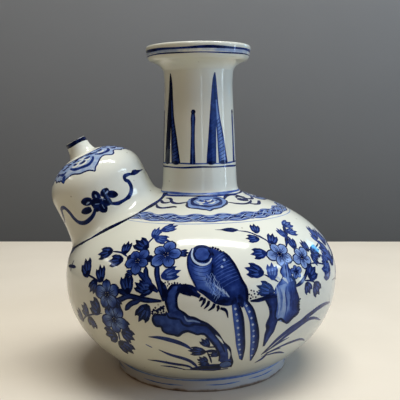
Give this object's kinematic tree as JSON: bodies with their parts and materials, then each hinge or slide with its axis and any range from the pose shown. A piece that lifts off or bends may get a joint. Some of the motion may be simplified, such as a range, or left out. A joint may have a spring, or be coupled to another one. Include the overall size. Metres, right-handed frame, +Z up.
{
  "type": "kendi",
  "caption": "Squat round porcelain pouring vessel with a tall flanged neck for filling and a leaning domed spout with a small nozzle, painted in cobalt blue under a pale glaze.",
  "frame": {"origin": "centre of the foot ring's standing face, on the axis of the body and neck", "axes": "+Z up along the neck's axis, the spout leans towards -X"},
  "size_m": [0.1783, 0.17, 0.2],
  "materials": {
    "glazed_porcelain": "glossy, faintly bluish clear glaze over white porcelain",
    "foot_porcelain": "glazed side with a bare brownish standing edge",
    "cobalt_painting": "cobalt blue brushwork under the same clear glaze"
  },
  "bodies": {
    "root": {"foot_ring": "foot_porcelain", "lower_body": "glazed_porcelain", "upper_body": "glazed_porcelain", "neck": "glazed_porcelain", "mouth_rim": "glazed_porcelain", "spout_bulb": "glazed_porcelain", "spout_nozzle": "glazed_porcelain"}
  },
  "joints": []
}
